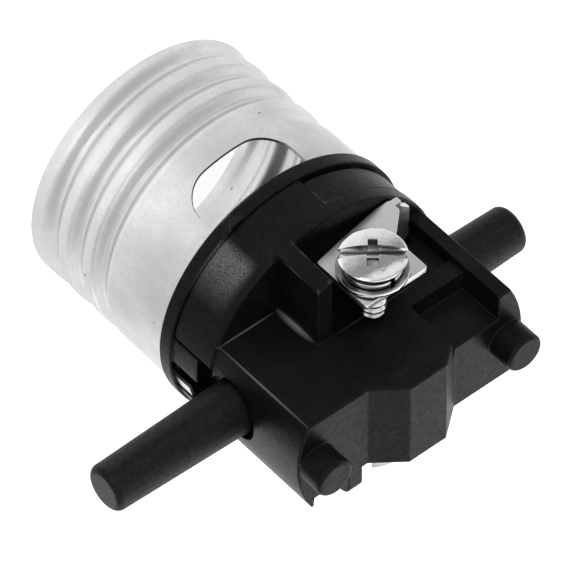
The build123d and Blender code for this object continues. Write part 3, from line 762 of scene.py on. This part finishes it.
def screw_shank(node, plane, end, settings):
    """Threaded shank from under the head to its tapered end."""
    rows, columns = 90, 40
    root = settings.shank_radius - settings.thread_depth
    vertices = []
    for row in range(rows + 1):
        height = end * (1 - row / rows)
        tapered = root + (height - end) * settings.shank_taper
        for step in range(columns):
            wave = (height / settings.thread_pitch + step / columns) % 1
            crest = abs(2 * wave - 1)
            r = min(root + settings.thread_depth * crest, tapered)
            vertices.append(on_ring(plane, r, 2 * math.pi * step / columns, height))
    return smooth(ringed(node + "_shank", vertices, columns), 60)


def screw_pieces(side, settings):
    """Head and shank of the terminal screw on one side."""
    node = side + "_screw"
    plane = screw_plane(node)
    low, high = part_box(node)
    inverse = plane.inverted()
    shank_end, head_top = sorted((inverse @ corner).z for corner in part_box(node))
    head = screw_head(node, plane, (high.x - low.x) / 2, head_top, settings)
    return head, screw_shank(node, plane, shank_end, settings)


def cutter_box(plane, size, top):
    """Box that is centred on a plane's upright, with its middle at a height."""
    shape = bmesh.new()
    placed = plane @ Matrix.Translation((0, 0, top)) @ Matrix.Diagonal((*size, 1))
    bmesh.ops.create_cube(shape, size=1, matrix=placed)
    mesh = bpy.data.meshes.new("cutter")
    shape.to_mesh(mesh)
    shape.free()
    return link("cutter", mesh)


class LAMPSOCKET_OT_terminals(bpy.types.Operator):
    """Build the terminal plates, washers and screws"""

    bl_idname = "lampsocket.terminals"
    bl_label = "Terminals"

    def execute(self, context):
        settings = context.scene.lamp_socket_terminal
        plate = nickel_plate(
            settings, "plated_steel_sheet", settings.sheet_roughness, ripple_depth=0.01 * MM, painted_shade_reach=0
        )
        bright = nickel_plate(
            settings, "plated_steel_head", settings.turned_roughness, ripple_depth=0.1 * MM,
            painted_shade_reach=settings.head_shade_reach,
        )
        # Washers and shanks in the pocket get a wider painted shade
        pocket_shaded = nickel_plate(
            settings, "plated_steel_in_pocket", settings.turned_roughness, ripple_depth=0.06 * MM,
            painted_shade_reach=settings.pocket_shade_reach,
        )
        for side in ("neutral", "live"):
            for node, body in ((side + "_terminal", "holder"), (side + "_washer", side + "_clamp"),
                               (side + "_spring_washer", side + "_clamp")):
                piece = rounded_copy(node, node + "_plated", settings.plate_edge, 2)
                flat = node.endswith("terminal")
                paint(piece, plate if flat else pocket_shaded)
                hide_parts(node)
                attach(piece, body)
            head, shank = screw_pieces(side, settings)
            for piece, finish in ((head, bright), (shank, pocket_shaded)):
                paint(piece, finish)
                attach(piece, side + "_driver")
            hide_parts(side + "_screw")
        paint(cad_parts["shell_strap"], plate)
        return {"FINISHED"}


# Contacts

class LAMPSOCKET_OT_contacts(bpy.types.Operator):
    """Finish the contacts inside the shell and the switch"""

    bl_idname = "lampsocket.contacts"
    bl_label = "Contacts"

    def execute(self, context):
        settings = context.scene.lamp_socket_terminal
        brass = brass_strip(settings)
        for node in ("centre_contact", "centre_rivet", "centre_finger", "live_finger", "contact_slider"):
            paint(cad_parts[node], brass)
        paint(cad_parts["insulating_washer"], vulcanised_fibre(settings))
        paint(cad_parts["detent_spring"], spring_strip(settings))
        plated = nickel_plate(
            settings, "plated_steel_cover_screws", settings.turned_roughness, ripple_depth=0.03 * MM,
            painted_shade_reach=0,
        )
        paint(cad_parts["cover_screws"], plated)
        return {"FINISHED"}


# Studio

def aim(azimuth, elevation, roll=0.0):
    """Turn of a camera or lamp that stands in a direction and looks back along it."""
    level = math.cos(elevation)
    back = Vector((math.sin(azimuth) * level, -math.cos(azimuth) * level, math.sin(elevation)))
    return back, (-back).to_track_quat("-Z", "Y") @ Quaternion((0, 0, 1), roll)


def lamp(name, target, distance, azimuth, elevation, size, watts):
    """Square soft lamp that faces the socket."""
    data = bpy.data.lights.new(name, "AREA")
    data.shape = "RECTANGLE"
    data.size, data.size_y = size
    data.energy = watts
    lamp_object = bpy.data.objects.new(name, data)
    back, turn = aim(azimuth, elevation)
    lamp_object.location = target + back * distance
    lamp_object.rotation_mode = "QUATERNION"
    lamp_object.rotation_quaternion = turn
    lamp_object.visible_glossy = False
    bpy.context.scene.collection.objects.link(lamp_object)


def away_from_camera(settings):
    """Level direction from the camera to the wall behind the socket."""
    return -math.sin(settings.azimuth), math.cos(settings.azimuth), 0.0


def lit_patch(tree, place, middle, inner, outer, strength):
    """Soft round patch: full strength inside one radius, none outside another."""
    away = add_node(tree, "ShaderNodeVectorMath", {"operation": "DISTANCE", 1: middle}, {0: place})
    settings = {"interpolation_type": "SMOOTHSTEP", 1: inner, 2: outer, 3: strength, 4: 0.0}
    return add_node(tree, "ShaderNodeMapRange", settings, {0: away.outputs["Value"]}).outputs[0]


def studio_floor(settings):
    """White paper; in reflections it glows with a painted pool of light, a key patch and a side glow, which
    the socket's skin and metal mirror.
    """
    material = bpy.data.materials.new("white_paper")
    material.use_nodes = True
    material.cycles.emission_sampling = "NONE"
    tree = material.node_tree
    tree.nodes.clear()
    place = add_node(tree, "ShaderNodeTexCoord").outputs["Object"]
    # Painted light: patches of glow that only reflections see
    pool = lit_patch(tree, place, (0, 0, 0), settings.pool_inner, settings.pool_outer, settings.pool)
    key = lit_patch(tree, place, settings.key_place, 0, settings.key_spread, settings.key_glow)
    side_glow = lit_patch(tree, place, settings.side_glow_place, 0, settings.side_glow_spread, settings.side_glow)
    behind = along(tree, place, away_from_camera(settings))
    rest = spread(tree, behind, 5 * MM, 60 * MM, settings.far_floor, settings.wall_foot)
    total = joined(tree, "ADD", joined(tree, "ADD", joined(tree, "ADD", pool, side_glow), rest), key)
    mirrored = add_node(tree, "ShaderNodeEmission", {"Color": (1, 1, 1, 1)}, {"Strength": total})
    paper = add_node(tree, "ShaderNodeBsdfDiffuse", {"Color": (*settings.floor, 1)})
    glow = add_node(tree, "ShaderNodeEmission", {"Color": (1, 1, 1, 1), "Strength": settings.floor_glow})
    seen = add_node(tree, "ShaderNodeAddShader", {}, {0: paper.outputs[0], 1: glow.outputs[0]})
    ray = add_node(tree, "ShaderNodeLightPath")
    direct = add_node(tree, "ShaderNodeMixShader", {}, {
        0: ray.outputs["Is Camera Ray"], 1: paper.outputs[0], 2: seen.outputs[0],
    })
    through = joined(tree, "MAXIMUM", ray.outputs["Is Glossy Ray"], ray.outputs["Is Transmission Ray"])
    switch = add_node(tree, "ShaderNodeMixShader", {}, {
        0: through, 1: direct.outputs[0], 2: mirrored.outputs[0],
    })
    add_node(tree, "ShaderNodeOutputMaterial", {}, {"Surface": switch.outputs[0]})
    return material


def studio_sky(settings):
    """Room that only reflections see, with an even light for the rest and a white background."""
    world = bpy.data.worlds.new("sky")
    world.use_nodes = True
    tree = world.node_tree
    tree.nodes.clear()
    direction = add_node(tree, "ShaderNodeTexCoord").outputs["Generated"]
    height = add_node(tree, "ShaderNodeSeparateXYZ", {}, {0: direction}).outputs["Z"]
    low = spread(tree, height, 0.25, 0.66, settings.horizon, settings.ceiling)
    high = spread(tree, height, 0.6, 1.0, settings.ceiling, settings.room)
    side = math.radians(90) - settings.azimuth + settings.softbox_side
    towards = (math.cos(side), -math.sin(side), math.sin(settings.softbox_height))
    softbox = spread(tree, along(tree, direction, towards), 0.88, 0.97, 0.0, settings.softbox)
    front = joined(tree, "ADD", joined(tree, "MAXIMUM", low, high), softbox)
    behind = spread(tree, along(tree, direction, away_from_camera(settings)), 0.1, 0.6, 0.0, 1.0)
    wall = spread(tree, height, 0.1, 0.4, settings.wall_foot, settings.backdrop)
    room = add_node(tree, "ShaderNodeMix", {}, {0: behind, 2: front, 3: wall}).outputs[0]
    ray = add_node(tree, "ShaderNodeLightPath")
    soft = add_node(tree, "ShaderNodeMix", {2: settings.sky}, {0: ray.outputs["Is Glossy Ray"], 3: room})
    strength = add_node(tree, "ShaderNodeMix", {3: 1.0}, {
        0: ray.outputs["Is Camera Ray"], 2: soft.outputs[0],
    })
    white = (1, 1, 1, 1)
    even = add_node(tree, "ShaderNodeBackground", {"Color": white}, {"Strength": strength.outputs[0]})
    add_node(tree, "ShaderNodeOutputWorld", {}, {"Surface": even.outputs[0]})
    return world


class LAMPSOCKET_OT_studio(bpy.types.Operator):
    """Set the floor, the lamps, the sky and the camera"""

    bl_idname = "lampsocket.studio"
    bl_label = "Studio"

    def execute(self, context):
        scene = context.scene
        settings = scene.lamp_socket_studio
        scene.view_settings.view_transform = "Standard"
        target = Vector((0, 0, settings.target_height))
        data = bpy.data.cameras.new("camera")
        data.lens = settings.lens
        data.sensor_width = 36.0
        data.clip_start, data.clip_end = 0.01, 10.0
        camera = bpy.data.objects.new("camera", data)
        back, turn = aim(settings.azimuth, settings.elevation, settings.roll)
        camera.location = target + back * settings.distance
        camera.rotation_mode = "QUATERNION"
        camera.rotation_quaternion = turn
        scene.collection.objects.link(camera)
        scene.camera = camera
        reach = FLOOR_REACH
        corners = [(-reach, -reach, 0), (reach, -reach, 0), (reach, reach, 0), (-reach, reach, 0)]
        floor = from_lists("floor", corners, [(0, 1, 2, 3)])
        floor.data.materials.append(studio_floor(settings))
        for name, distance, azimuth, elevation, size in LAMPS:
            azimuth, elevation = math.radians(azimuth), math.radians(elevation)
            lamp(name, target, distance, azimuth, elevation, size, getattr(settings, name))
        scene.world = studio_sky(settings)
        return {"FINISHED"}


# Panel and registration

OPERATORS = (
    LAMPSOCKET_OT_studio,
    LAMPSOCKET_OT_shell,
    LAMPSOCKET_OT_mouldings,
    LAMPSOCKET_OT_terminals,
    LAMPSOCKET_OT_contacts,
)
SETTINGS = {
    "lamp_socket_shell": ShellSettings,
    "lamp_socket_moulding": MouldingSettings,
    "lamp_socket_terminal": TerminalSettings,
    "lamp_socket_studio": StudioSettings,
}


class LAMPSOCKET_PT_panel(bpy.types.Panel):
    """Buttons and sizes of the lamp socket"""

    bl_idname = "LAMPSOCKET_PT_panel"
    bl_label = "Lamp Socket"
    bl_space_type = "VIEW_3D"
    bl_region_type = "UI"
    bl_category = "Lamp Socket"

    def draw(self, context):
        for operator in OPERATORS:
            self.layout.operator(operator.bl_idname)
        for name, group in SETTINGS.items():
            box = self.layout.box()
            for key in group.__annotations__:
                box.prop(getattr(context.scene, name), key)


def register():
    """Register the settings, the operators and the panel."""
    for name, group in SETTINGS.items():
        bpy.utils.register_class(group)
        setattr(bpy.types.Scene, name, PointerProperty(type=group))
    for item in (*OPERATORS, LAMPSOCKET_PT_panel):
        bpy.utils.register_class(item)


def unregister():
    """Remove what register added."""
    for item in (*OPERATORS, LAMPSOCKET_PT_panel):
        bpy.utils.unregister_class(item)
    for name, group in SETTINGS.items():
        delattr(bpy.types.Scene, name)
        bpy.utils.unregister_class(group)


def main():
    """Build everything in order."""
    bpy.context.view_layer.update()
    register()
    bpy.ops.lampsocket.studio()
    bpy.ops.lampsocket.shell()
    bpy.ops.lampsocket.mouldings()
    bpy.ops.lampsocket.terminals()
    bpy.ops.lampsocket.contacts()


if __name__ == "__main__":
    main()
